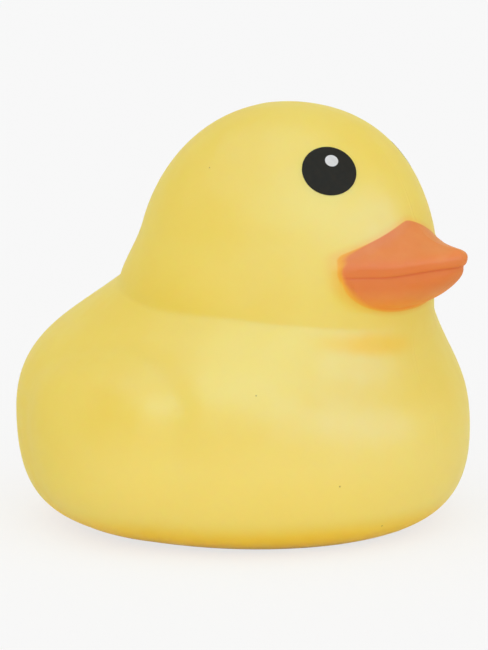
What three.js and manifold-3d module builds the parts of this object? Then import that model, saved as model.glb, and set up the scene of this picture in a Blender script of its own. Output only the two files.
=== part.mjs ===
// Squishy toy duck, moulded in one piece: a bun-shaped body on a flat base, a domed head that sits on a
// tight neck crease, a soft wing on each flank, a short wide bill and two round eyes.
// Millimetres, +Z up. The duck faces +X, and the origin is on the base, under the middle of the body.
import * as THREE from 'three';
import Module from 'manifold-3d';

// Heights on the middle axis, and how far the axis stands forward of the origin at each of them
const neckHeight = 40;
const crownRise = 34; // crown above the neck
const neckTilt = 6.6; // degrees, the neck crease is lower at the front
const bulgeForward = 0.3;
const neckForward = 7.4;
const cheekForward = 6.8;
const crownForward = 9;

// Front outline: reach from the axis, height, and lean in degrees
const frontBaseReach = 28;
const frontBaseLean = 15.5; // wall above the floor, where it leaves the base
const frontBulgeReach = 39;
const frontBulgeHeight = 16.2;
const frontNeckReach = 26.8;
const frontShoulderLean = 2.1; // shoulder from upright, at the neck
const frontNapeLean = 2.4; // head from upright, at the neck
const frontCheekReach = 28.1;
const frontCheekRise = 13.9; // fullest part of the head, above the neck
const frontCheekLean = 13.9;

// Side outline, the same on both flanks
const sideBaseReach = 25.8;
const sideBaseLean = 14.7;
const sideBulgeReach = 39.5;
const sideBulgeHeight = 15.7;
const sideNeckReach = 26.3;
const sideShoulderLean = 46.4;
const sideNapeLean = 5.6;
const sideCheekReach = 22.8;
const sideCheekRise = 14;
const sideCheekLean = 13.7;

// Back outline
const backBaseReach = 32;
const backBaseLean = 34.1;
const backBulgeReach = 41.2;
const backBulgeHeight = 21.8;
const backNeckReach = 29.2;
const backShoulderLean = 53.2;
const backNapeLean = 19.8;
const backCheekReach = 23.8;
const backCheekRise = 12.9;
const backCheekLean = 16.5;

// Fullness of each curve, as the share of its chord that a handle takes
const footFullness = 0.26;
const bellyFullness = 0.64;
const backFullness = 0.44;
const shoulderFullness = 0.51;
const cheekFullness = 0.35;
const templeFullness = 0.59;
const crownFullness = 0.54;
const neckFillet = 1.2; // length that the crease's rounding takes on either side

// Wings: a low plateau on each flank, which fades out below, with a groove round its front and top
const wingForward = -3.5; // middle of the wing, from which its front, back, top and foot are measured
const wingHeight = 24;
const wingFront = 15;
const wingBack = 22;
const wingTop = 9.3;
const wingDrop = 24;
const wingRise = 1.6;
const wingFlat = 0.5; // share of the way out that stays flat before the shoulder falls
const wingShoulder = 2; // larger is flatter with a steeper edge
const wingGroove = 0.6; // depth of the groove along the wing's edge
const wingGrooveWidth = 0.35; // half of its width, as a share of the way out to the edge
const wingGrooveFoot = 10; // height at which it starts, and at which it is full
const wingGrooveFull = 20;

// Bill: the lips in plan run from a blunt tip to a corner on either cheek
const mouthRise = 6.95; // mouth corners above the neck
const mouthLift = 1.2; // tip of the mouth above its corners
const mouthLevel = 0.35; // share of the lips' length behind the lift
const billReach = 9.25; // tip of the upper lip in front of the cheek's fullest part
const billWidth = 30.9;
const billBlunt = 10.3; // larger is blunter
const billFlare = 1.45; // sideways spread of the lips behind the tip
const billRoot = 21.6; // from the tip back to the point that the bill narrows to, inside the head
const upperLip = 1.6; // lip's widest line above the mouth, at the corners
const upperLipThin = 0.25; // how much lower that line is at the tip
const noseRise = 1.6; // rounded end of the upper bill above that line
const noseRound = 1.25; // how far behind the tip the rounding ends
const ridgeEnd = 1.15; // the ridge stops rising this many reaches behind the tip, inside the head
const ridgeRise = 2.55; // ridge above the nose, where it leaves the face
const ridgeHollow = 1.45; // larger is more hollow along the bill
const ridgeWidth = 1.3; // larger is blunter across the bill
const ridgeFall = 0.52; // smaller is steeper at the lips
const crestRise = 2.3; // narrow crest that sweeps from the ridge up to the brow
const crestHollow = 3.5;
const crestWidth = 4; // larger is narrower
const lowerLip = 0.5; // lower lip's widest line below the mouth
const chinDepth = 5.7; // chin below that line, under the face
const chinFullness = 0.54; // smaller is fuller towards the tip
const chinRound = 2.65; // larger is squarer across the bill
const mouthGroove = 0.75; // depth of the groove between the lips, at the tip
const cornerGroove = 0.1; // its depth at the corners
const lipOverhang = 0.82; // upper lip past the lower one at the tip, none at the corners

// Eyes: round, on an axis that leads out of the head from a point on the middle plane
const eyeAxisForward = 13.6;
const eyeAxisRise = 13.4; // above the neck
const rightEyeTurn = 45.8; // degrees from straight ahead
const leftEyeTurn = 52; // its print sits a little further round
const eyeTilt = 34.5; // degrees up
const eyeWidth = 9.5;
const eyeHeight = 9.5;
const eyeFilm = 0.15; // the ink's edge stands this proud
const glintWidth = 2.3;
const glintHeight = 2.3;
const glintAcross = 0.55; // towards the bill
const glintUp = 1.75;
const glintFilm = 0.25;
const inkRoot = 0.8; // how deep the ink's solid reaches under the surface

// Facets
const roundSteps = 80;
const footSteps = 10;
const backSteps = 12;
const cheekSteps = 9;
const crownSteps = 12;
const billSteps = 60;
const chordSteps = 16;
const lipSteps = 3;
const eyeSteps = 24;
const inkSteps = 3;

const skinYellow = 0xead269;
const skinRoughness = 0.38;

const degrees = THREE.MathUtils.degToRad;

// One outline from the base edge to the crown, as points (reach, height)
function outline(shape) {
  const neck = new THREE.Vector2(shape.neckReach, neckHeight + shape.neckDrop);
  const base = new THREE.Vector2(shape.baseReach, 0);
  const bulge = new THREE.Vector2(shape.bulgeReach, shape.bulgeHeight);
  const cheek = new THREE.Vector2(shape.cheekReach, neckHeight + shape.cheekRise);
  const crown = new THREE.Vector2(0, neckHeight + crownRise);

  const along = (point, lean, length) => new THREE.Vector2(
    point.x - length * Math.sin(degrees(lean)),
    point.y + length * Math.cos(degrees(lean)),
  );

  const footChord = base.distanceTo(bulge);
  const foot = new THREE.CubicBezierCurve(
    base,
    along(base, shape.baseLean - 90, footFullness * footChord),
    along(bulge, 0, -bellyFullness * footChord),
    bulge,
  );
  const backChord = bulge.distanceTo(neck);
  const back = new THREE.CubicBezierCurve(
    bulge,
    along(bulge, 0, backFullness * backChord),
    along(neck, shape.shoulderLean, -shoulderFullness * backChord),
    neck,
  );
  const cheekChord = neck.distanceTo(cheek);
  const face = new THREE.CubicBezierCurve(
    neck,
    along(neck, shape.napeLean, cheekFullness * cheekChord),
    along(cheek, shape.cheekLean, -cheekFullness * cheekChord),
    cheek,
  );
  const dome = new THREE.CubicBezierCurve(
    cheek,
    along(cheek, shape.cheekLean, templeFullness * (crown.y - cheek.y)),
    new THREE.Vector2(crownFullness * cheek.x, crown.y),
    crown,
  );

  // the crease is rounded between a point on the shoulder and a point on the head
  const shoulderEnd = 1 - neckFillet / backChord;
  const faceStart = neckFillet / cheekChord;
  const crease = new THREE.QuadraticBezierCurve(back.getPoint(shoulderEnd), neck, face.getPoint(faceStart));

  const points = [];
  for (let i = 0; i < footSteps; i++) points.push(foot.getPoint(i / footSteps));
  for (let i = 0; i < backSteps; i++) points.push(back.getPoint((shoulderEnd * i) / backSteps));
  points.push(crease.getPoint(0), crease.getPoint(0.5));
  for (let i = 0; i < cheekSteps; i++) {
    points.push(face.getPoint(faceStart + ((1 - faceStart) * i) / cheekSteps));
  }
  for (let i = 0; i <= crownSteps; i++) points.push(dome.getPoint(i / crownSteps));
  return points;
}

const tiltSlope = Math.tan(degrees(neckTilt));

const frontOutline = outline({
  baseReach: frontBaseReach, baseLean: frontBaseLean,
  bulgeReach: frontBulgeReach, bulgeHeight: frontBulgeHeight,
  neckReach: frontNeckReach, neckDrop: -frontNeckReach * tiltSlope,
  shoulderLean: frontShoulderLean, napeLean: frontNapeLean,
  cheekReach: frontCheekReach, cheekRise: frontCheekRise, cheekLean: frontCheekLean,
});

const sideOutline = outline({
  baseReach: sideBaseReach, baseLean: sideBaseLean,
  bulgeReach: sideBulgeReach, bulgeHeight: sideBulgeHeight,
  neckReach: sideNeckReach, neckDrop: 0,
  shoulderLean: sideShoulderLean, napeLean: sideNapeLean,
  cheekReach: sideCheekReach, cheekRise: sideCheekRise, cheekLean: sideCheekLean,
});

const backOutline = outline({
  baseReach: backBaseReach, baseLean: backBaseLean,
  bulgeReach: backBulgeReach, bulgeHeight: backBulgeHeight,
  neckReach: backNeckReach, neckDrop: backNeckReach * tiltSlope,
  shoulderLean: backShoulderLean, napeLean: backNapeLean,
  cheekReach: backCheekReach, cheekRise: backCheekRise, cheekLean: backCheekLean,
});

// How far forward the middle axis stands at each point of the outlines
function axisForward() {
  const stops = [0, bulgeForward, neckForward, cheekForward, crownForward];
  const counts = [footSteps, backSteps + 1, cheekSteps + 1, crownSteps];
  const forward = [];
  counts.forEach((count, k) => {
    for (let i = 0; i < count; i++) {
      const ease = THREE.MathUtils.smoothstep(i / count, 0, 1);
      forward.push(THREE.MathUtils.lerp(stops[k], stops[k + 1], ease));
    }
  });
  forward.push(crownForward);
  return forward;
}

// How far a wing stands out from the flank, less its groove, at a place seen from the side
function wingHeightAt(x, z) {
  const ahead = x - wingForward;
  const across = ahead / (ahead > 0 ? wingFront : wingBack);
  const above = z - wingHeight;
  const up = above / (above > 0 ? wingTop : wingDrop);
  const far = Math.hypot(across, up);
  const fall = THREE.MathUtils.clamp((far - wingFlat) / (1 - wingFlat), 0, 1);
  const aside = Math.min(Math.abs(far - 1) / wingGrooveWidth, 1);
  const groove = wingGroove * (1 - aside ** 2) ** 2;
  const fade = THREE.MathUtils.smoothstep(z, wingGrooveFoot, wingGrooveFull);
  return wingRise * (1 - fall ** wingShoulder) - groove * fade;
}

// Points and triangles of one closed mesh
// A ring is a list of point numbers, counter-clockwise seen from outside
class ClosedSurface {
  points = [];

  triangles = [];

  addPoint(point) {
    return this.points.push(point) - 1;
  }

  addRing(points) {
    return points.map((point) => this.addPoint(point));
  }

  addWall(lower, upper) {
    lower.forEach((a, j) => {
      const next = (j + 1) % lower.length;
      this.triangles.push(a, lower[next], upper[next], a, upper[next], upper[j]);
    });
  }

  closeToPoint(ring, point, facesOut) {
    const tip = this.addPoint(point);
    ring.forEach((a, j) => {
      const b = ring[(j + 1) % ring.length];
      this.triangles.push(...(facesOut ? [tip, a, b] : [tip, b, a]));
    });
  }

  closeFlatBelow(ring) {
    const plan = ring.map((a) => new THREE.Vector2(this.points[a].x, this.points[a].y));
    THREE.ShapeUtils.triangulateShape(plan, []).forEach(([a, b, c]) => {
      this.triangles.push(ring[a], ring[c], ring[b]);
    });
  }

  // A cap of chords between the mirrored points of a ring that starts on the middle plane
  // Its height depends on x and on the share of the half chord that lies between a point and the middle
  closeWithChords(ring, height, facesUp) {
    const middle = ring.length / 2;
    const rows = [[ring[0]]];
    for (let j = 1; j < middle; j++) {
      const left = this.points[ring[j]];
      const row = [ring[j]];
      for (let i = 1; i < chordSteps; i++) {
        const share = Math.cos((Math.PI * i) / chordSteps);
        const point = new THREE.Vector3(left.x, left.y * share, height(left.x, Math.abs(share)));
        row.push(this.addPoint(point));
      }
      rows.push([...row, ring[ring.length - j]]);
    }
    rows.push([ring[middle]]);

    const face = (a, b, c) => this.triangles.push(...(facesUp ? [a, b, c] : [a, c, b]));
    for (let j = 0; j + 1 < rows.length; j++) {
      const ahead = rows[j];
      const behind = rows[j + 1];
      for (let i = 0; i < chordSteps; i++) {
        if (ahead.length > 1) face(ahead[i], behind[Math.min(i, behind.length - 1)], ahead[i + 1]);
        if (behind.length > 1) face(ahead[Math.min(i + 1, ahead.length - 1)], behind[i], behind[i + 1]);
      }
    }
  }

  toGeometry() {
    const geometry = new THREE.BufferGeometry().setFromPoints(this.points);
    geometry.setIndex(this.triangles);
    return geometry;
  }
}

// Body and head: rings swept through the front, side and back outlines
function bodyAndHead() {
  const forward = axisForward();
  const surface = new ClosedSurface();
  const rings = sideOutline.slice(0, -1).map((side, i) => {
    const ring = [];
    for (let j = 0; j < roundSteps; j++) {
      const turn = (2 * Math.PI * j) / roundSteps;
      const ahead = Math.cos(turn);
      const end = ahead >= 0 ? frontOutline[i] : backOutline[i];
      const x = forward[i] + end.x * ahead;
      const z = THREE.MathUtils.lerp(side.y, end.y, ahead * ahead);
      const y = (side.x + wingHeightAt(x, z)) * Math.sin(turn);
      ring.push(new THREE.Vector3(x, y, z));
    }
    return surface.addRing(ring);
  });
  for (let i = 0; i + 1 < rings.length; i++) surface.addWall(rings[i], rings[i + 1]);
  surface.closeFlatBelow(rings[0]);
  surface.closeToPoint(rings.at(-1), new THREE.Vector3(crownForward, 0, neckHeight + crownRise), true);
  return surface.toGeometry();
}

// Bill: lips that follow the plan's rim, with the ridge above them and the chin below
function bill() {
  const faceX = cheekForward + frontCheekReach;
  const tipX = faceX + billReach;
  const rootX = tipX - billRoot;
  const half = billWidth / 2;
  const setBack = (y) => Math.hypot(billFlare * y, billBlunt) - billBlunt;
  const cornerX = tipX - setBack(half);

  const plan = [];
  for (let j = 0; j < billSteps; j++) {
    const turn = (2 * Math.PI * j) / billSteps;
    const y = half * Math.sin(turn);
    const x = Math.cos(turn) > 0 ? tipX - setBack(y) : cornerX + (cornerX - rootX) * Math.cos(turn);
    plan.push(new THREE.Vector2(x, y));
  }

  const alongBill = (x) => THREE.MathUtils.clamp((x - cornerX) / (tipX - cornerX), 0, 1);
  const mouth = (x) => {
    const lift = THREE.MathUtils.smoothstep(alongBill(x), mouthLevel, 1);
    return neckHeight + mouthRise + mouthLift * lift;
  };
  const lipHeight = (x) => upperLip - upperLipThin * alongBill(x);
  const top = (x, share) => {
    const behindTip = Math.max(tipX - x, 0);
    const nose = noseRise * Math.sqrt(1 - (1 - Math.min(behindTip / noseRound, 1)) ** 2);
    const run = Math.min(behindTip / billReach, ridgeEnd);
    const dome = (nose + ridgeRise * run ** ridgeHollow) * (1 - share ** ridgeWidth) ** ridgeFall;
    const crest = crestRise * run ** crestHollow * (1 - share ** 2) ** crestWidth;
    return mouth(x) + lipHeight(x) + dome + crest;
  };
  const bottom = (x, share) => {
    const behindLip = Math.max(tipX - lipOverhang - x, 0);
    const chin = chinDepth * (behindLip / billReach) ** chinFullness;
    return mouth(x) - lowerLip - chin * (1 - share ** chinRound) ** (1 / chinRound);
  };

  const groove = (x) => THREE.MathUtils.lerp(cornerGroove, mouthGroove, alongBill(x));
  const overhang = (x) => lipOverhang * alongBill(x);
  const surface = new ClosedSurface();
  const addLevel = (inset, height) => surface.addRing(plan.map((rim) => {
    const share = 1 - inset(rim.x) / billRoot;
    const x = THREE.MathUtils.lerp(rootX, rim.x, share);
    return new THREE.Vector3(x, rim.y * share, height(x));
  }));

  const levels = [addLevel(overhang, (x) => mouth(x) - lowerLip)];
  // under the upper lip a quarter of an oval leads from the groove out to the widest line
  for (let i = 0; i <= lipSteps; i++) {
    const turn = (Math.PI * (lipSteps - i)) / (2 * lipSteps);
    levels.push(addLevel(
      (x) => groove(x) * (1 - Math.cos(turn)),
      (x) => mouth(x) + lipHeight(x) * (1 - Math.sin(turn)),
    ));
  }
  for (let i = 0; i + 1 < levels.length; i++) surface.addWall(levels[i], levels[i + 1]);
  surface.closeWithChords(levels[0], bottom, false);
  surface.closeWithChords(levels.at(-1), top, true);
  return surface.toGeometry();
}

// A thin oval of ink that follows the skin, at a place across and up from the eye's middle
function inkSpot(skin, side, width, height, across, up, film) {
  const tilt = degrees(eyeTilt);
  const turn = side * degrees(side > 0 ? leftEyeTurn : rightEyeTurn);
  const outward = new THREE.Vector3(
    Math.cos(tilt) * Math.cos(turn), Math.cos(tilt) * Math.sin(turn), Math.sin(tilt),
  );
  const level = new THREE.Vector3(0, 0, 1).cross(outward).normalize();
  const upward = outward.clone().cross(level);
  const towardsBill = level.clone().multiplyScalar(-side);
  const axisFoot = new THREE.Vector3(eyeAxisForward, 0, neckHeight + eyeAxisRise);
  const farOut = crownRise * 2;
  const inward = outward.clone().negate();
  const ray = new THREE.Raycaster();

  const onSkin = (h, v, lift) => {
    const start = axisFoot.clone()
      .addScaledVector(towardsBill, h)
      .addScaledVector(upward, v)
      .addScaledVector(outward, farOut);
    ray.set(start, inward);
    return ray.intersectObject(skin)[0].point.clone().addScaledVector(outward, lift);
  };
  const ringAt = (share, lift) => {
    const ring = [];
    for (let j = 0; j < eyeSteps; j++) {
      const angle = (-side * 2 * Math.PI * j) / eyeSteps;
      const h = across + (share * width * Math.cos(angle)) / 2;
      const v = up + (share * height * Math.sin(angle)) / 2;
      ring.push(onSkin(h, v, lift));
    }
    return ring;
  };
  const surface = new ClosedSurface();
  const rings = [surface.addRing(ringAt(1, -inkRoot))];
  for (let i = inkSteps; i > 0; i--) rings.push(surface.addRing(ringAt(i / inkSteps, film)));
  for (let i = 0; i + 1 < rings.length; i++) surface.addWall(rings[i], rings[i + 1]);
  surface.closeToPoint(rings[0], onSkin(across, up, -inkRoot), false);
  surface.closeToPoint(rings.at(-1), onSkin(across, up, film), true);
  return surface.toGeometry();
}

const wasm = await Module();
wasm.setup();

function toManifold(geometry) {
  const vertProperties = new Float32Array(geometry.getAttribute('position').array);
  const triVerts = new Uint32Array(geometry.getIndex().array);
  return new wasm.Manifold(new wasm.Mesh({ numProp: 3, vertProperties, triVerts }));
}

function toGeometry(solid) {
  const mesh = solid.getMesh();
  const geometry = new THREE.BufferGeometry();
  geometry.setAttribute('position', new THREE.BufferAttribute(mesh.vertProperties, 3));
  geometry.setIndex(new THREE.BufferAttribute(mesh.triVerts, 1));
  geometry.computeVertexNormals();
  return geometry;
}

function duckMoulding() {
  const skinGeometry = bodyAndHead();
  const skin = new THREE.Mesh(skinGeometry);
  let solid = toManifold(skinGeometry).add(toManifold(bill()));
  for (const side of [-1, 1]) {
    const eye = inkSpot(skin, side, eyeWidth, eyeHeight, 0, 0, eyeFilm);
    const glint = inkSpot(skin, side, glintWidth, glintHeight, glintAcross, glintUp, glintFilm);
    solid = solid.add(toManifold(eye)).add(toManifold(glint));
  }
  const material = new THREE.MeshStandardMaterial({
    color: skinYellow, roughness: skinRoughness, metalness: 0,
  });
  const mesh = new THREE.Mesh(toGeometry(solid), material);
  mesh.name = 'duck_moulding';
  return mesh;
}

const duck = new THREE.Group();
duck.add(duckMoulding());

export default duck;
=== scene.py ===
import math

import bpy
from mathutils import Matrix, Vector


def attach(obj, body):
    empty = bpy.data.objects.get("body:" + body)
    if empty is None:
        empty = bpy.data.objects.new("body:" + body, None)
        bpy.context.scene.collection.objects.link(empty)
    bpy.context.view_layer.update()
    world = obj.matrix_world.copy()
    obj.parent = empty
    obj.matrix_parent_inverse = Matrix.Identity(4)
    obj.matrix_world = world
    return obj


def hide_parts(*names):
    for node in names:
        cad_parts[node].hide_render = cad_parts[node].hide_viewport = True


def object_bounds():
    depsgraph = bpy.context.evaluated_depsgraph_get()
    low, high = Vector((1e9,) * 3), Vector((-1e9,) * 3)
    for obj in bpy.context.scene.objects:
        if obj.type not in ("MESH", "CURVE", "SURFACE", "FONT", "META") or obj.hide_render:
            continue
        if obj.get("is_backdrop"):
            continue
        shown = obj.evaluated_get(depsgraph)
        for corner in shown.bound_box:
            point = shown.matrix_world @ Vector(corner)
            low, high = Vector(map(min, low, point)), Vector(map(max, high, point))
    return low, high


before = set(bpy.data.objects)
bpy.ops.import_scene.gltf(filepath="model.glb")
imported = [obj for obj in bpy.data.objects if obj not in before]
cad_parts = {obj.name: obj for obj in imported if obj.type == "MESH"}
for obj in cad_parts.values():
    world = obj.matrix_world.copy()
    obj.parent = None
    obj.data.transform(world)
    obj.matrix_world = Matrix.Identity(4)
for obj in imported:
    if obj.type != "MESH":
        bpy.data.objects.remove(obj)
cadLow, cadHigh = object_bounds()
scene = bpy.context.scene
mm = 0.001  # the formulas below work in millimetres, the scene is in metres
weld = 0.002  # points closer than this, in millimetres, are joined
print("frame loaded:", ", ".join(sorted(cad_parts)))


# One output of a node; sums, products and the like of such outputs add Math nodes to its tree
class Flow:
    def __init__(self, socket):
        self.socket = socket

    def node(self, kind, settings=(), values=(), out=0):
        tree = self.socket.id_data
        made = tree.nodes.new(kind)
        for key, value in dict(settings).items():
            setattr(made, key, value)
        for key, value in dict(values).items():
            for one in value if isinstance(value, list) else [value]:  # a list fills one socket
                if isinstance(one, Flow):
                    tree.links.new(one.socket, made.inputs[key])
                else:
                    made.inputs[key].default_value = one
        return Flow(made.outputs[out])

    def out(self, key):
        return Flow(self.socket.node.outputs[key])

    def into(self, shader, key):
        self.socket.id_data.links.new(self.socket, shader.inputs[key])

    def math(self, operation, *values):
        return self.node("ShaderNodeMath", {"operation": operation}, enumerate(values))

    def __add__(self, other):
        return self.math("ADD", self, other)

    def __radd__(self, other):
        return self.math("ADD", other, self)

    def __sub__(self, other):
        return self.math("SUBTRACT", self, other)

    def __rsub__(self, other):
        return self.math("SUBTRACT", other, self)

    def __mul__(self, other):
        return self.math("MULTIPLY", self, other)

    def __rmul__(self, other):
        return self.math("MULTIPLY", other, self)

    def __truediv__(self, other):
        return self.math("DIVIDE", self, other)

    def __rtruediv__(self, other):
        return self.math("DIVIDE", other, self)

    def __pow__(self, other):
        return self.math("POWER", self, other)

    def __neg__(self):
        return self.math("MULTIPLY", self, -1)

    def __abs__(self):
        return self.math("ABSOLUTE", self)

    def __gt__(self, other):
        return self.math("GREATER_THAN", self, other)

    def sin(self):
        return self.math("SINE", self)

    def cos(self):
        return self.math("COSINE", self)

    def tan(self):
        return self.math("TANGENT", self)

    def radians(self):
        return self.math("RADIANS", self)

    def sqrt(self):
        return self.math("SQRT", self)

    def atMost(self, other):
        return self.math("MINIMUM", self, other)

    def atLeast(self, other):
        return self.math("MAXIMUM", self, other)

    def softMin(self, other, width):
        return self.math("SMOOTH_MIN", self, other, width)

    def softMax(self, other, width):
        return self.math("SMOOTH_MAX", self, other, width)

    # 0 below low and 1 above high, in a straight line or eased at both ends
    def ramp(self, low, high, steps="LINEAR"):
        span = {"Value": self, "From Min": low, "From Max": high}
        return self.node("ShaderNodeMapRange", {"interpolation_type": steps}, span)

    def ease(self, low=0, high=1):
        return self.ramp(low, high, "SMOOTHSTEP")

    def mix(self, low, high):
        return low + (high - low) * self

    def mixColour(self, low, high):
        return self.node("ShaderNodeMix", {"data_type": "RGBA"}, {0: self, 6: low, 7: high}, 2)

    def vector(self, x, y, z):
        return self.node("ShaderNodeCombineXYZ", (), {0: x, 1: y, 2: z})

    def scaled(self, factor):
        return self.node("ShaderNodeVectorMath", {"operation": "SCALE"}, {0: self, "Scale": factor})

    def distanceTo(self, point):
        return self.node("ShaderNodeVectorMath", {"operation": "DISTANCE"}, {0: self, 1: point}, 1)

    def parts(self):
        split = self.node("ShaderNodeSeparateXYZ", (), {0: self})
        return split, split.out(1), split.out(2)

    def noise(self, scale, detail):
        return self.node("ShaderNodeTexNoise", (), {"Vector": self, "Scale": scale, "Detail": detail})


def linear(red, green, blue):
    def channel(value):
        share = value / 255
        return share / 12.92 if share <= 0.04045 else ((share + 0.055) / 1.055) ** 2.4
    return (channel(red), channel(green), channel(blue), 1)


# A Geometry Nodes tree with one named input for each size
def newTree(name, sizes):
    kinds = {int: "Int", float: "Float", bpy.types.Object: "Object", bpy.types.Material: "Material"}
    tree = bpy.data.node_groups.new(name, "GeometryNodeTree")
    tree.interface.new_socket("Geometry", in_out="OUTPUT", socket_type="NodeSocketGeometry")
    for key, value in sizes.items():
        tree.interface.new_socket(key, in_out="INPUT", socket_type="NodeSocket" + kinds[type(value)])
    inputs = tree.nodes.new("NodeGroupInput")
    return tree, {socket.name: Flow(socket) for socket in inputs.outputs if socket.name}


# The tree's last nodes: millimetres become metres, and the result is whole, smooth and dressed
def endTree(tree, geometry, material):
    spot = geometry.node("GeometryNodeInputPosition")
    metres = geometry.node("GeometryNodeSetPosition", (), {0: geometry, "Position": spot.scaled(mm)})
    smooth = geometry.node("GeometryNodeSetShadeSmooth", (), {0: metres})
    whole = geometry.node("GeometryNodeRealizeInstances", (), {0: smooth})
    dressed = geometry.node("GeometryNodeSetMaterial", (), {0: whole, "Material": material})
    tree.links.new(dressed.socket, tree.nodes.new("NodeGroupOutput").inputs[0])


# The tree's result as a plain mesh object at the origin
def grow(name, tree, sizes):
    holder = bpy.data.objects.new(name, bpy.data.meshes.new(name + "Start"))
    scene.collection.objects.link(holder)
    modifier = holder.modifiers.new(tree.name, "NODES")
    modifier.node_group = tree
    for item in tree.interface.items_tree:
        if item.in_out == "INPUT":
            modifier[item.identifier] = sizes[item.name]
    depsgraph = bpy.context.evaluated_depsgraph_get()
    grown = bpy.data.meshes.new_from_object(holder.evaluated_get(depsgraph), depsgraph=depsgraph)
    holder.modifiers.clear()
    holder.data = grown
    grown.name = name
    triangles = sum(len(face.vertices) - 2 for face in grown.polygons)
    print(name, "grown:", triangles, "triangles")
    return holder


# Body and head: rings swept through three outlines, in millimetres and degrees
bodySizes = {
    "neckHeight": 40.0, "crownRise": 34.0, "neckTilt": 6.6,
    "bulgeForward": 0.3, "neckForward": 7.4, "cheekForward": 6.8, "crownForward": 9.0,
    "footFullness": 0.26, "bellyFullness": 0.64, "backFullness": 0.44, "shoulderFullness": 0.51,
    "cheekFullness": 0.35, "templeFullness": 0.59, "crownFullness": 0.54,
    "wingForward": -3.5, "wingHeight": 24.0, "wingFront": 15.0, "wingBack": 22.0, "wingTop": 9.3,
    "wingDrop": 24.0, "wingRise": 1.6, "wingFlat": 0.5, "wingShoulder": 2.0,
    "wingGroove": 0.6, "wingGrooveWidth": 0.35, "wingGrooveFoot": 10.0, "wingGrooveFull": 20.0,
    "creaseReach": 0.9, "creaseRounds": 5, "frontGather": 0.72, "turnSteps": 301, "riseSteps": 231,
}
outlineSizes = {
    "front": {
        "baseReach": 28.0, "baseLean": 15.5, "bulgeReach": 39.0, "bulgeHeight": 16.2,
        "neckReach": 26.8, "shoulderLean": 2.1, "napeLean": 2.4,
        "cheekReach": 28.1, "cheekRise": 13.9, "cheekLean": 13.9,
    },
    "side": {
        "baseReach": 25.8, "baseLean": 14.7, "bulgeReach": 39.5, "bulgeHeight": 15.7,
        "neckReach": 26.3, "shoulderLean": 46.4, "napeLean": 5.6,
        "cheekReach": 22.8, "cheekRise": 14.0, "cheekLean": 13.7,
    },
    "back": {
        "baseReach": 32.0, "baseLean": 34.1, "bulgeReach": 41.2, "bulgeHeight": 21.8,
        "neckReach": 29.2, "shoulderLean": 53.2, "napeLean": 19.8,
        "cheekReach": 23.8, "cheekRise": 12.9, "cheekLean": 16.5,
    },
}
neckSlope = {"front": -1, "side": 0, "back": 1}  # the crease falls towards the bill
# share of the rings that each part of an outline gets
ringShares = {"base": 0.05, "foot": 0.2, "back": 0.25, "face": 0.2, "dome": 0.3}


# A cubic curve, as the move away from its first point
def cubicMove(t, points):
    u = 1 - t
    weights = [u * u * u - 1, 3 * u * u * t, 3 * u * t * t, t * t * t]
    total = weights[0] * points[0]
    for weight, point in zip(weights[1:], points[1:]):
        total = total + weight * point
    return total


def handle(point, lean, length):
    angle = lean.radians()
    return point[0] - length * angle.sin(), point[1] + length * angle.cos()


def chord(a, b):
    across = b[0] - a[0]
    rise = b[1] - a[1]
    return (across * across + rise * rise).sqrt()


# Reach and height along one outline, from the base edge to the crown
def outline(size, side, steps):
    own = {key: size[side + " " + key] for key in outlineSizes[side]}
    drop = neckSlope[side] * own["neckReach"] * size["neckTilt"].radians().tan()
    base = (own["baseReach"], 0)
    bulge = (own["bulgeReach"], own["bulgeHeight"])
    neck = (own["neckReach"], size["neckHeight"] + drop)
    cheek = (own["cheekReach"], size["neckHeight"] + own["cheekRise"])
    crown = (0, size["neckHeight"] + size["crownRise"])

    foot = chord(base, bulge)
    back = chord(bulge, neck)
    face = chord(neck, cheek)
    temple = size["templeFullness"] * (crown[1] - cheek[1])
    curves = {
        "foot": (
            base,
            handle(base, own["baseLean"] - 90, size["footFullness"] * foot),
            (bulge[0], bulge[1] - size["bellyFullness"] * foot),
            bulge,
        ),
        "back": (
            bulge,
            (bulge[0], bulge[1] + size["backFullness"] * back),
            handle(neck, own["shoulderLean"], -size["shoulderFullness"] * back),
            neck,
        ),
        "face": (
            neck,
            handle(neck, own["napeLean"], size["cheekFullness"] * face),
            handle(cheek, own["cheekLean"], -size["cheekFullness"] * face),
            cheek,
        ),
        "dome": (
            cheek,
            handle(cheek, own["cheekLean"], temple),
            (size["crownFullness"] * cheek[0], crown[1]),
            crown,
        ),
    }
    reach, height = base
    for key, points in curves.items():
        reach = reach + cubicMove(steps[key], [point[0] for point in points])
        height = height + cubicMove(steps[key], [point[1] for point in points])
    return reach, height


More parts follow.
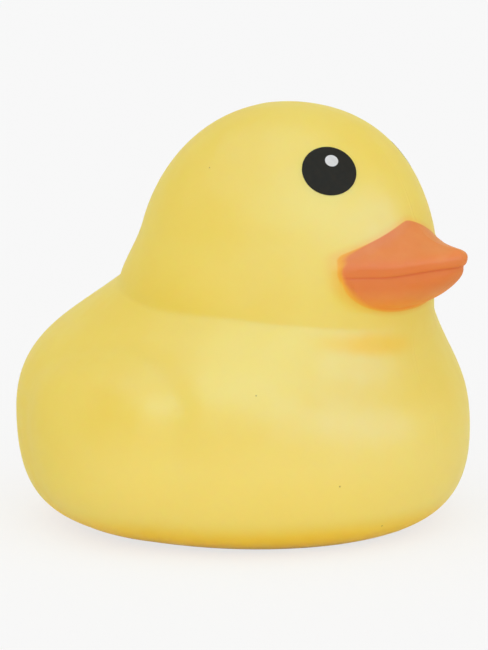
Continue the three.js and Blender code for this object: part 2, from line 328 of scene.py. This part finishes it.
def bodyMesh(size):
    # a sheet that goes once round the body, and from the base up to the crown
    start = size["neckHeight"]
    sheet = start.node("GeometryNodeMeshGrid", (), {
        "Size X": 2, "Size Y": 1, "Vertices X": size["turnSteps"], "Vertices Y": size["riseSteps"]})
    across, up, _ = start.node("GeometryNodeInputPosition").parts()
    rise = up + 0.5

    steps = {}
    begun = 0
    for key, share in ringShares.items():
        steps[key] = rise.ramp(begun, begun + share)
        begun += share

    # points are closer together at the middle plane, where the bill and the mould line are
    turn = math.pi * across - size["frontGather"] / 2 * (2 * math.pi * across).sin()
    ahead = turn.cos()
    isFront = ahead > 0
    frontReach, frontHeight = outline(size, "front", steps)
    sideReach, sideHeight = outline(size, "side", steps)
    backReach, backHeight = outline(size, "back", steps)

    stops = [size["bulgeForward"], size["neckForward"], size["cheekForward"], size["crownForward"]]
    forward = stops[0] * steps["foot"].ease()
    for key, low, high in zip(("back", "face", "dome"), stops, stops[1:]):
        forward = forward + (high - low) * steps[key].ease()

    x = forward + isFront.mix(backReach, frontReach) * ahead * steps["base"]
    z = (ahead * ahead).mix(sideHeight, isFront.mix(backHeight, frontHeight))

    # a wing is a low plateau, which fades out below, with a groove round its front and top
    forth = x - size["wingForward"]
    above = z - size["wingHeight"]
    wingX = forth / (forth > 0).mix(size["wingBack"], size["wingFront"])
    wingZ = above / (above > 0).mix(size["wingDrop"], size["wingTop"])
    far = (wingX * wingX + wingZ * wingZ).sqrt()
    wing = size["wingRise"] * (1 - far.ramp(size["wingFlat"], 1) ** size["wingShoulder"])
    aside = (abs(far - 1) / size["wingGrooveWidth"]).atMost(1)
    hollow = 1 - aside * aside
    fade = z.ease(size["wingGrooveFoot"], size["wingGrooveFull"])
    groove = size["wingGroove"] * hollow * hollow * fade
    y = (sideReach + wing - groove) * turn.sin() * steps["base"]

    placed = start.node("GeometryNodeSetPosition", (), {0: sheet, "Position": start.vector(x, y, z)})
    closed = start.node("GeometryNodeMergeByDistance", (), {0: placed, "Distance": weld})

    # the crease at the neck is rounded a little
    spot = start.node("GeometryNodeInputPosition")
    spotX, _, spotZ = spot.parts()
    crease = size["neckHeight"] - size["neckTilt"].radians().tan() * (spotX - size["neckForward"])
    near = 1 - abs(spotZ - crease).ease(0, size["creaseReach"])
    soft = start.node("GeometryNodeBlurAttribute", {"data_type": "FLOAT_VECTOR"}, {
        0: spot, "Iterations": size["creaseRounds"], "Weight": near})
    return start.node("GeometryNodeSetPosition", (), {0: closed, "Position": soft})


# Bill: lips that follow the plan's rim, the ridge above them and the chin below, in millimetres
billSizes = {
    "mouthRise": 6.95, "mouthLift": 1.2, "mouthLevel": 0.35,
    "billReach": 9.25, "billWidth": 30.9, "billBlunt": 10.3, "billFlare": 1.45, "billRoot": 21.6,
    "upperLip": 1.6, "upperLipThin": 0.25, "noseRise": 1.6, "noseRound": 1.25,
    "ridgeEnd": 1.15, "ridgeRise": 2.55, "ridgeHollow": 1.45, "ridgeWidth": 1.3, "ridgeFall": 0.52,
    "crestRise": 2.3, "crestHollow": 3.5, "crestWidth": 4.0,
    "lowerLip": 0.5, "chinDepth": 5.7, "chinFullness": 0.54, "chinRound": 2.65,
    "mouthGroove": 0.75, "cornerGroove": 0.1, "lipOverhang": 0.82,
    "middleGather": 0.8, "rimSteps": 151, "sectionSteps": 201, "filletReach": 0.5,
    "cornerFillet": 2.6, "cornerStart": 0.6, "cornerFull": 0.95, "filletRounds": 30,
}
rimShare = 0.8  # share of the steps along the bill that lies in front of the mouth's corners
# share of the steps round half a section, from the ridge to the middle of the chin
sectionShares = {"top": 0.45, "lip": 0.12, "lower": 0.1, "chin": 0.33}


def billMesh(size):
    # a sheet that goes along the rim from the tip to the root, and over the ridge from chin to chin
    start = size["billReach"]
    sheet = start.node("GeometryNodeMeshGrid", (), {
        "Size X": 1, "Size Y": 2, "Vertices X": size["rimSteps"], "Vertices Y": size["sectionSteps"]})
    along, around, _ = start.node("GeometryNodeInputPosition").parts()
    part = {}
    begun = 0
    for key, share in sectionShares.items():
        part[key] = abs(around).ramp(begun, begun + share)
        begun += share

    tip = size["cheekForward"] + size["front cheekReach"] + size["billReach"]
    root = tip - size["billRoot"]
    half = size["billWidth"] / 2
    blunt = size["billBlunt"]

    def setBack(y):
        flared = size["billFlare"] * y
        return (flared * flared + blunt * blunt).sqrt() - blunt

    # the rim goes from the tip to a corner of the mouth, then round to the root inside the head
    corner = tip - setBack(half)
    ahead = (along + 0.5).ramp(0, rimShare) * (math.pi / 2)
    behind = (along + 0.5).ramp(rimShare, 1) * (math.pi / 2)
    rimY = half * ahead.sin() * behind.cos()
    rimX = tip - setBack(half * ahead.sin()) + (root - corner) * behind.sin()

    reached = ((rimX - corner) / (tip - corner)).ramp(0, 1)
    lift = size["mouthLift"] * reached.ease(size["mouthLevel"], 1)
    mouth = size["neckHeight"] + size["mouthRise"] + lift
    lip = size["upperLip"] - size["upperLipThin"] * reached
    groove = reached.mix(size["cornerGroove"], size["mouthGroove"])
    overhang = size["lipOverhang"] * reached

    # under the upper lip a quarter of an oval leads into the groove, and the lower lip is a small roll
    under = part["lip"] * (math.pi / 2)
    roll = part["lower"] * (2 - part["lower"])
    inset = groove * (1 - under.cos()) + (overhang - groove) * roll
    share = 1 - inset / size["billRoot"]
    x = share.mix(root, rimX)

    # points are closer together towards the middle plane and the lips
    def gathered(t):
        return size["middleGather"].mix(t, t.ease())

    topSpread = gathered(part["top"])
    chinSpread = gathered(1 - part["chin"])
    y = -around.math("SIGN", around) * rimY * share * topSpread * chinSpread

    behindTip = (tip - x).atLeast(0)
    flat = 1 - (behindTip / size["noseRound"]).atMost(1)
    nose = size["noseRise"] * (1 - flat * flat).sqrt()
    run = (behindTip / size["billReach"]).atMost(size["ridgeEnd"])
    ridge = size["ridgeRise"] * run ** size["ridgeHollow"]
    dome = (nose + ridge) * (1 - topSpread ** size["ridgeWidth"]) ** size["ridgeFall"]
    narrow = (1 - topSpread * topSpread) ** size["crestWidth"]
    crest = size["crestRise"] * run ** size["crestHollow"] * narrow
    behindLip = (behindTip - size["lipOverhang"]).atLeast(0) / size["billReach"]
    bowl = (1 - chinSpread ** size["chinRound"]) ** (1 / size["chinRound"])
    chin = size["chinDepth"] * behindLip ** size["chinFullness"] * bowl
    z = mouth + lip * (1 - under.sin()) + dome + crest - size["lowerLip"] * part["lower"] - chin

    placed = start.node("GeometryNodeSetPosition", (), {0: sheet, "Position": start.vector(x, y, z)})
    return start.node("GeometryNodeMergeByDistance", (), {0: placed, "Distance": weld})


# The mould's parting line stands a hair proud along the middle plane
partingSizes = {"partingRise": 0.04, "partingHalf": 0.3, "partingFoot": 2.0}


def growDuck(material):
    sizes = {**bodySizes, **billSizes, **partingSizes, "material": material}
    for side, own in outlineSizes.items():
        sizes.update({side + " " + key: value for key, value in own.items()})
    tree, size = newTree("Duck moulding", sizes)
    start = size["neckHeight"]
    joined = start.node("GeometryNodeMeshBoolean", {"operation": "UNION", "solver": "EXACT"}, {
        1: [bodyMesh(size), billMesh(size)]})

    # where the bill leaves the face the rubber runs in a soft fillet, wider at the mouth's corners
    border = start.node("GeometryNodeSeparateGeometry", {"domain": "EDGE"}, {
        0: joined, "Selection": joined.out("Intersecting Edges")})
    away = start.node("GeometryNodeProximity", {"target_element": "EDGES"}, {0: border}).out("Distance")
    spot = start.node("GeometryNodeInputPosition")
    _, spotY, spotZ = spot.parts()
    half = size["billWidth"] / 2
    cornerward = abs(spotY / half).ease(size["cornerStart"], size["cornerFull"])
    reach = cornerward.mix(size["filletReach"], size["cornerFillet"])
    soft = start.node("GeometryNodeBlurAttribute", {"data_type": "FLOAT_VECTOR"}, {
        0: spot, "Iterations": size["filletRounds"], "Weight": 1 - away.ease(0, reach)})
    filleted = start.node("GeometryNodeSetPosition", (), {0: joined, "Position": soft})

    line = 1 - abs(spotY).ease(0, size["partingHalf"])
    proud = size["partingRise"] * line * spotZ.ease(0, size["partingFoot"])
    outward = start.node("GeometryNodeInputNormal")
    lined = start.node("GeometryNodeSetPosition", (), {0: filleted, "Offset": outward.scaled(proud)})
    endTree(tree, lined, size["material"])
    return grow("duck_skin", tree, sizes)


# Eyes: round spots of ink on an axis that leads out of the head, in millimetres and degrees
eyeSizes = {
    "neckHeight": bodySizes["neckHeight"], "axisForward": 13.6, "axisRise": 13.4,
    "rightTurn": 45.8, "leftTurn": 52.0, "tilt": 34.5,
    "width": 9.5, "height": 9.5, "across": 0.0, "up": 0.0, "film": 0.03, "root": 0.25,
    "farOut": 40.2, "rimSteps": 97, "ringSteps": 33,
}
dotSizes = {**eyeSizes, "width": 2.3, "height": 2.3, "across": 0.55, "up": 1.75, "film": 0.06}
inkTop = 0.8  # share of a spot's rings that lies on its face, the rest is its underside


def growInk(name, ownSizes, skin, material):
    sizes = {**ownSizes, "skin": skin, "material": material}
    tree, size = newTree("Ink of " + name, sizes)
    start = size["width"]
    head = start.node("GeometryNodeObjectInfo", (), {0: size["skin"]}, "Geometry")
    spots = []
    for side, ownTurn in ((-1, "rightTurn"), (1, "leftTurn")):
        # a sheet that goes once round the spot, and from its middle over the rim to its underside
        sheet = start.node("GeometryNodeMeshGrid", (), {
            "Size X": 1, "Size Y": 1, "Vertices X": size["rimSteps"], "Vertices Y": size["ringSteps"]})
        around, ring, _ = start.node("GeometryNodeInputPosition").parts()
        angle = 2 * math.pi * around
        onFace = (ring + 0.5).ramp(0, inkTop)
        under = (ring + 0.5).ramp(inkTop, 1)
        share = onFace * (1 - under)
        h = size["across"] + share * size["width"] / 2 * angle.cos()
        v = size["up"] + share * size["height"] / 2 * angle.sin()

        # outward along the eye's axis, level towards the bill, and upward on the face
        turn = side * size[ownTurn].radians()
        tilt = size["tilt"].radians()
        outward = (tilt.cos() * turn.cos(), tilt.cos() * turn.sin(), tilt.sin())
        level = (side * turn.sin(), -side * turn.cos(), 0)
        upward = (-tilt.sin() * turn.cos(), -tilt.sin() * turn.sin(), tilt.cos())
        foot = (size["axisForward"], 0, size["neckHeight"] + size["axisRise"])
        source = [
            foot[i] + level[i] * h + upward[i] * v + outward[i] * size["farOut"] for i in range(3)]
        ray = start.vector(*[-part for part in outward])
        hit = start.node("GeometryNodeRaycast", (), {
            "Target Geometry": head, "Source Position": start.vector(*source).scaled(mm),
            "Ray Direction": ray, "Ray Length": 1}).out("Hit Position").scaled(1 / mm)
        lift = (under > 0).mix(size["film"], -size["root"])
        raised = start.vector(*[part * lift for part in outward])
        placed = start.node("GeometryNodeSetPosition", (), {0: sheet, "Position": hit, "Offset": raised})
        closed = start.node("GeometryNodeMergeByDistance", (), {0: placed, "Distance": weld})
        if side == 1:
            closed = start.node("GeometryNodeFlipFaces", (), {0: closed})
        spots.append(closed)
    both = start.node("GeometryNodeJoinGeometry", (), {0: spots})
    endTree(tree, both, size["material"])
    return grow(name, tree, sizes)


def newMaterial(name):
    material = bpy.data.materials.new(name)
    material.use_nodes = True
    shader = material.node_tree.nodes["Principled BSDF"]
    place = Flow(material.node_tree.nodes.new("ShaderNodeTexCoord").outputs["Object"])
    return material, shader, place.scaled(1 / mm)


# Sets what is the same all over a surface
def setEven(shader, values):
    for key, value in values.items():
        shader.inputs[key].default_value = value


# Field of the bill's sprayed paint, in millimetres: a roof above and a round bowl below
paintSizes = {
    "peakAcross": -2.2, "peakHeight": 55.7, "peakRound": 0.35,
    "roofSlope": 0.37, "roofSkew": 0.04, "roofBend": 0.008,
    "middleAcross": -2.0, "middleHeight": 47.4, "rightHalf": 13.5, "leftHalf": 17.6,
    "bowlDepth": 7.25, "bowlScale": 1.3, "roundness": 2.3, "cornerRound": 1.6, "front": 20.0,
    "mouthCorner": (31.0, -14.6, 48.0), "mouthReach": 2.0, "mouthRound": 1.2, "mouthTip": 43.5,
    "mistEdge": (-1.3, 0.3), "edge": 0.22, "softEdge": 0.8, "softFade": 3.0,
    "rimMiddle": -1.0, "rimStart": (9.0, 14.5), "rimFade": 1.5,
    "rimUpper": 0.2, "rimLower": 0.1, "rimSoft": 0.65,
}


# How far inside the sprayed field a place lies
def paintDepth(place):
    p = paintSizes
    x, y, z = place.parts()
    off = y - p["peakAcross"]
    slant = p["roofSlope"] * off
    ridge = p["peakHeight"] + p["peakRound"] - (slant * slant + p["peakRound"] ** 2).sqrt()
    roof = ridge + p["roofSkew"] * off - p["roofBend"] * off.atLeast(0) ** 2

    away = y - p["middleAcross"]
    half = (away > 0).mix(p["rightHalf"], p["leftHalf"])
    wide = (abs(away) / half) ** p["roundness"]
    low = ((p["middleHeight"] - z).atLeast(0) / p["bowlDepth"]) ** p["roundness"]
    bowl = p["bowlDepth"] * p["bowlScale"] * (1 - (wide + low) ** (1 / p["roundness"]))

    # the spray runs on round the right corner of the mouth
    field = (roof - z).softMin(bowl, p["cornerRound"]).atMost(x - p["front"])
    corner = place.distanceTo(p["mouthCorner"])
    return field.softMax(p["mouthReach"] - corner, p["mouthRound"])


# How much lies on a place of the mist round the paint, which is partly overspray and partly a painted
# glow of orange light through the rubber, of its thin amber coat and of the orange
def paintCoats(place):
    p = paintSizes
    depth = paintDepth(place)
    _, y, z = place.parts()
    mistAndGlow = depth.ease(*p["mistEdge"])
    coat = depth.ease(0, p["edge"])

    # towards the corners of the mouth a rim of the coat shows, more softly above the mouth
    towards = abs(y - p["rimMiddle"]).ease(*p["rimStart"])
    upper = z.ease(p["middleHeight"] - p["rimFade"], p["middleHeight"])
    rim = towards * upper.mix(p["rimLower"], p["rimUpper"])
    soft = z.ease(p["middleHeight"] - p["softFade"], p["middleHeight"]).mix(p["softEdge"], p["edge"])
    cover = (depth - rim).ease(0, soft + towards * upper * p["rimSoft"])
    return mistAndGlow, coat, cover


# Tones of the paint, among them painted shade along the lips and in the mouth's groove and a painted
# glow under the chin, with heights in millimetres and shares of full strength
paintLook = {
    "orange": linear(231, 145, 80), "deepOrange": linear(229, 138, 73),
    "patchNoise": (0.25, 3), "patchEdge": (0.3, 0.7),
    # painted shade: a darker orange along the lips
    "lipsShadeOrange": linear(225, 128, 66), "lipsHeight": 47.0, "lipsEdge": (1.4, 4.0), "lipsShare": 0.8,
    # painted glow: a brighter amber under the chin
    "chinGlowOrange": linear(250, 154, 52), "chinEdge": (39.9, 44.4), "chinShare": 0.8,
    # painted shade: a darker line in the mouth's groove
    "grooveShadeOrange": linear(216, 104, 54), "grooveEdge": (0.05, 0.4), "grooveShare": 0.45,
    # amber of the paint's thin coat and of the mist, which is partly painted glow
    "amber": linear(240, 176, 62), "mistAndGlowShare": 0.5, "roughness": 0.55, "gloss": 0.04,
}


def billPaint(place):
    look = paintLook
    x, _, z = place.parts()
    patches = place.noise(*look["patchNoise"]).ease(*look["patchEdge"])
    colour = patches.mixColour(look["orange"], look["deepOrange"])

    # painted shade: darker along the lips; painted glow: a brighter amber under the chin
    lips = 1 - abs(z - look["lipsHeight"]).ease(*look["lipsEdge"])
    colour = (lips * look["lipsShare"]).mixColour(colour, look["lipsShadeOrange"])
    chin = 1 - z.ease(*look["chinEdge"])
    colour = (chin * look["chinShare"]).mixColour(colour, look["chinGlowOrange"])

    # painted shade: a darker line in the groove of the mouth
    along = x.ramp(paintSizes["mouthCorner"][0], paintSizes["mouthTip"])
    lift = billSizes["mouthLift"] * along.ease(billSizes["mouthLevel"], 1)
    mouth = bodySizes["neckHeight"] + billSizes["mouthRise"] + lift
    groove = 1 - abs(z - mouth).ease(*look["grooveEdge"])
    return (groove * look["grooveShare"]).mixColour(colour, look["grooveShadeOrange"])


# A painted reflection of the orange bill on the chest below it, where the coat is dulled too, in
# millimetres
billReflectionLook = {
    "across": -9.5, "height": 35.2, "slope": 0.1, "half": 12.5, "tall": 2.8, "edge": (0.2, 1.0),
    "front": (15.0, 25.0), "colour": linear(246, 194, 30), "share": 0.47, "dulls": 0.6,
}


def paintedBillReflection(place):
    look = billReflectionLook
    x, y, z = place.parts()
    away = y - look["across"]
    wide = away / look["half"]
    tall = (z - look["height"] + look["slope"] * away) / look["tall"]
    spot = 1 - (wide * wide + tall * tall).sqrt().ease(*look["edge"])
    return spot * x.ease(*look["front"])


# Tones of the bare rubber, with painted light low on the chest and painted shade at the base, where they
# come in, and its surface; lengths in millimetres
rubberLook = {
    "yellow": linear(237, 212, 97), "deepYellow": linear(235, 205, 80),
    "patchNoise": (0.05, 3), "patchEdge": (0.35, 0.7), "patchShare": 0.6,
    # painted light: a paler yellow low on the chest, for light from the floor
    "floorLightYellow": linear(243, 220, 120), "chestShare": 0.7,
    "chestFoot": (2.0, 8.0), "chestTop": (14.0, 28.0), "chestBack": (-22.0, 6.0),
    # painted shade and glow: a deeper, warmer amber at the base, near the floor
    "baseShadeYellow": linear(254, 200, 0), "baseEdge": (1.0, 7.0), "baseShare": 0.9,
    "roughness": 0.5, "dullNoise": (0.4, 4), "dullEdge": (0.3, 0.7), "dullRoughness": 0.06,
    "sheen": 0.03, "gloss": 0.22, "dullGloss": 0.04, "glossBlur": 0.38,
    "grainNoise": (1.6, 4), "grainStrength": 0.02, "grainDepth": 0.1,
    "subsurface": 0.5, "bleed": (1.0, 0.62, 0.16), "bleedDepth": 3.0,
}
# Dust specks on the skin: place in millimetres and radius
specks = (
    ((-8.1, -36.3, 27.2), 0.22), ((22.5, -30.0, 28.6), 0.17), ((33.2, -20.9, 12.9), 0.17),
    ((34.5, -9.7, 4.3), 0.2), ((5.0, -18.3, 64.2), 0.15),
)
speckLook = {"colour": linear(150, 118, 48), "core": 0.4, "rim": 1.3, "share": 0.7}


def bareRubber(place):
    look = rubberLook
    x, _, z = place.parts()
    patches = place.noise(*look["patchNoise"]).ease(*look["patchEdge"])
    colour = (patches * look["patchShare"]).mixColour(look["yellow"], look["deepYellow"])

    # painted light: paler low on the chest, standing in for light thrown up from the floor; painted
    # shade and glow: a deeper, warmer amber at the base
    chestFloorLight = z.ease(*look["chestFoot"]) * (1 - z.ease(*look["chestTop"])) * x.ease(*look["chestBack"])
    colour = (chestFloorLight * look["chestShare"]).mixColour(colour, look["floorLightYellow"])
    # painted shade and warm glow near the floor
    base = 1 - z.ease(*look["baseEdge"])
    colour = (base * look["baseShare"]).mixColour(colour, look["baseShadeYellow"])

    for spot, radius in specks:
        dark = 1 - place.distanceTo(spot).ease(radius * speckLook["core"], radius * speckLook["rim"])
        colour = (dark * speckLook["share"]).mixColour(colour, speckLook["colour"])
    return colour


def skinRubber():
    look = rubberLook
    material, shader, place = newMaterial("skin_rubber")
    mistAndGlow, coat, cover = paintCoats(place)
    billReflection = paintedBillReflection(place)

    # painted reflection of the orange bill on the chest
    colour = (billReflection * billReflectionLook["share"]).mixColour(bareRubber(place), billReflectionLook["colour"])
    # the mist round the paint: partly overspray, partly painted glow
    colour = (mistAndGlow * paintLook["mistAndGlowShare"]).mixColour(colour, paintLook["amber"])
    colour = coat.mixColour(colour, paintLook["amber"])
    cover.mixColour(colour, billPaint(place)).into(shader, "Base Color")

    # the rubber is duller in small patches and where the bill's painted reflection lies
    dull = place.noise(*look["dullNoise"]).ease(*look["dullEdge"])
    roughness = look["roughness"] + look["dullRoughness"] * dull
    coat.mix(roughness, paintLook["roughness"]).into(shader, "Roughness")
    gloss = (look["gloss"] - look["dullGloss"] * dull) * (1 - billReflectionLook["dulls"] * billReflection)
    coat.mix(gloss, paintLook["gloss"]).into(shader, "Coat Weight")
    grain = place.noise(*look["grainNoise"])
    bump = grain.node("ShaderNodeBump", (), {
        "Strength": look["grainStrength"], "Distance": look["grainDepth"] * mm, "Height": grain})
    bump.into(shader, "Normal")
    setEven(shader, {
        "Specular IOR Level": look["sheen"], "Coat Roughness": look["glossBlur"],
        "Subsurface Weight": look["subsurface"], "Subsurface Radius": look["bleed"],
        "Subsurface Scale": look["bleedDepth"] * mm})
    return material


inkLook = {
    "black": linear(44, 36, 24), "blackWorn": linear(47, 39, 27),
    "grey": linear(218, 218, 217), "greyWorn": linear(208, 208, 207),
    "patchNoise": (0.9, 4), "patchEdge": (0.35, 0.7),
    "roughness": 0.6, "wornRoughness": 0.1, "sheen": 0.02,
}


def ink(name, colour, worn):
    material, shader, place = newMaterial(name)
    patches = place.noise(*inkLook["patchNoise"]).ease(*inkLook["patchEdge"])
    patches.mixColour(colour, worn).into(shader, "Base Color")
    (inkLook["roughness"] + inkLook["wornRoughness"] * patches).into(shader, "Roughness")
    setEven(shader, {"Specular IOR Level": inkLook["sheen"]})
    return material


skin = growDuck(skinRubber())
eyes = growInk("eye_print", eyeSizes, skin, ink("eye_ink", inkLook["black"], inkLook["blackWorn"]))
dots = growInk("eye_dots", dotSizes, skin, ink("glint_ink", inkLook["grey"], inkLook["greyWorn"]))
for piece, slot in ((skin, "skin_rubber"), (eyes, "eye_ink"), (dots, "glint_ink")):
    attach(piece, "root")
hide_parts("duck_moulding")
print("duck dressed")


# The way from the duck to something at this turn and lift, in degrees
def direction(turn, lift):
    turn = math.radians(turn)
    lift = math.radians(lift)
    return Vector((math.sin(turn) * math.cos(lift), -math.cos(turn) * math.cos(lift), math.sin(lift)))


# Turns a camera or a lamp that stands this way from the duck towards it
def faceDuck(item, away):
    item.rotation_mode = "QUATERNION"
    item.rotation_quaternion = (-away).to_track_quat("-Z", "Y")
    scene.collection.objects.link(item)


# Camera at the photograph's angle, in millimetres and degrees
viewSizes = {
    "turn": 34.3, "lift": 9.5, "distance": 650.0, "aim": (-0.27, -0.19, 34.2),
    "lens": 205.35, "farthest": 20000.0,
}


def addCamera():
    away = direction(viewSizes["turn"], viewSizes["lift"])
    data = bpy.data.cameras.new("camera")
    data.lens = viewSizes["lens"]
    data.clip_end = viewSizes["farthest"] * mm
    camera = bpy.data.objects.new("camera", data)
    camera.location = (Vector(viewSizes["aim"]) + away * viewSizes["distance"]) * mm
    faceDuck(camera, away)
    scene.camera = camera


# Soft boxes far off: turn from the camera to the right, lift and spread in degrees
# fill lights the surface, and shine is what its gloss reflects
softBoxes = {
    "right box": {"turn": 67, "lift": 12, "spread": 48, "fill": 0.15, "shine": 10.4},
    "middle box": {"turn": 32, "lift": 24, "spread": 50, "fill": 0.03, "shine": 4.2},
    "top box": {"turn": 4, "lift": 54, "spread": 62, "fill": 0.2, "shine": 3.2},
    "left box": {"turn": -45, "lift": 68, "spread": 84, "fill": 0.3, "shine": 8.8},
    "front box": {"turn": 0, "lift": 4, "spread": 90, "fill": 0.81, "shine": 7.8},
}
boxTint = {"fill": (1, 1, 1), "shine": (0.05, 0.5, 1)}


def addLights():
    for name, own in softBoxes.items():
        away = direction(viewSizes["turn"] + own["turn"], own["lift"])
        for use, tint in boxTint.items():
            data = bpy.data.lights.new(name + " " + use, "SUN")
            data.angle = math.radians(own["spread"])
            data.energy = own[use]
            data.color = tint
            light = bpy.data.objects.new(name + " " + use, data)
            light.visible_diffuse = use == "fill"
            light.visible_glossy = use == "shine"
            faceDuck(light, away)


# Floor and room; air is the light from all round, and reach is half the floor's width in metres
stageLook = {
    "pale": linear(251, 251, 251), "floor": (0.96, 0.96, 0.96, 1), "shadow": 0.25, "air": 0.705,
    "reach": 6.0,
}


# 1 for what the camera sees, straight, in a reflection or through glass
def seenRays(tree):
    path = Flow(tree.nodes.new("ShaderNodeLightPath").outputs["Is Camera Ray"])
    return (path + path.out("Is Glossy Ray") + path.out("Is Transmission Ray")).atMost(1)


def addFloor():
    reach = stageLook["reach"]
    corners = [(-reach, -reach, 0), (reach, -reach, 0), (reach, reach, 0), (-reach, reach, 0)]
    mesh = bpy.data.meshes.new("floor")
    mesh.from_pydata(corners, [], [(0, 1, 2, 3)])
    floor = bpy.data.objects.new("floor", mesh)
    scene.collection.objects.link(floor)

    # the camera sees a pale glow, through which a share of the lit paper shows the duck's shadow
    material = bpy.data.materials.new("floor_paper")
    material.use_nodes = True
    tree = material.node_tree
    tree.nodes.clear()
    seen = seenRays(tree)
    paper = seen.node("ShaderNodeBsdfDiffuse", (), {"Color": stageLook["floor"]})
    glow = seen.node("ShaderNodeEmission", (), {"Color": stageLook["pale"]})
    both = seen.node("ShaderNodeMixShader", (), {0: seen * (1 - stageLook["shadow"]), 1: paper, 2: glow})
    both.into(tree.nodes.new("ShaderNodeOutputMaterial"), "Surface")
    mesh.materials.append(material)
    floor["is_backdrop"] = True


def addRoom():
    world = bpy.data.worlds.new("white room")
    world.use_nodes = True
    tree = world.node_tree
    tree.nodes.clear()
    seen = seenRays(tree)
    strength = seen.mix(stageLook["air"], 1)
    air = seen.node("ShaderNodeBackground", (), {"Color": stageLook["pale"], "Strength": strength})
    air.into(tree.nodes.new("ShaderNodeOutputWorld"), "Surface")
    scene.world = world


addCamera()
addLights()
addFloor()
addRoom()
scene.view_settings.view_transform = "Standard"
print("camera, light and stage ready")

seenLow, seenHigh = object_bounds()
boxes = {"cad": [list(cadLow), list(cadHigh)], "visual": [list(seenLow), list(seenHigh)]}
for name, box in boxes.items():
    print(name, "box in millimetres:", [[round(value / mm, 2) for value in corner] for corner in box])
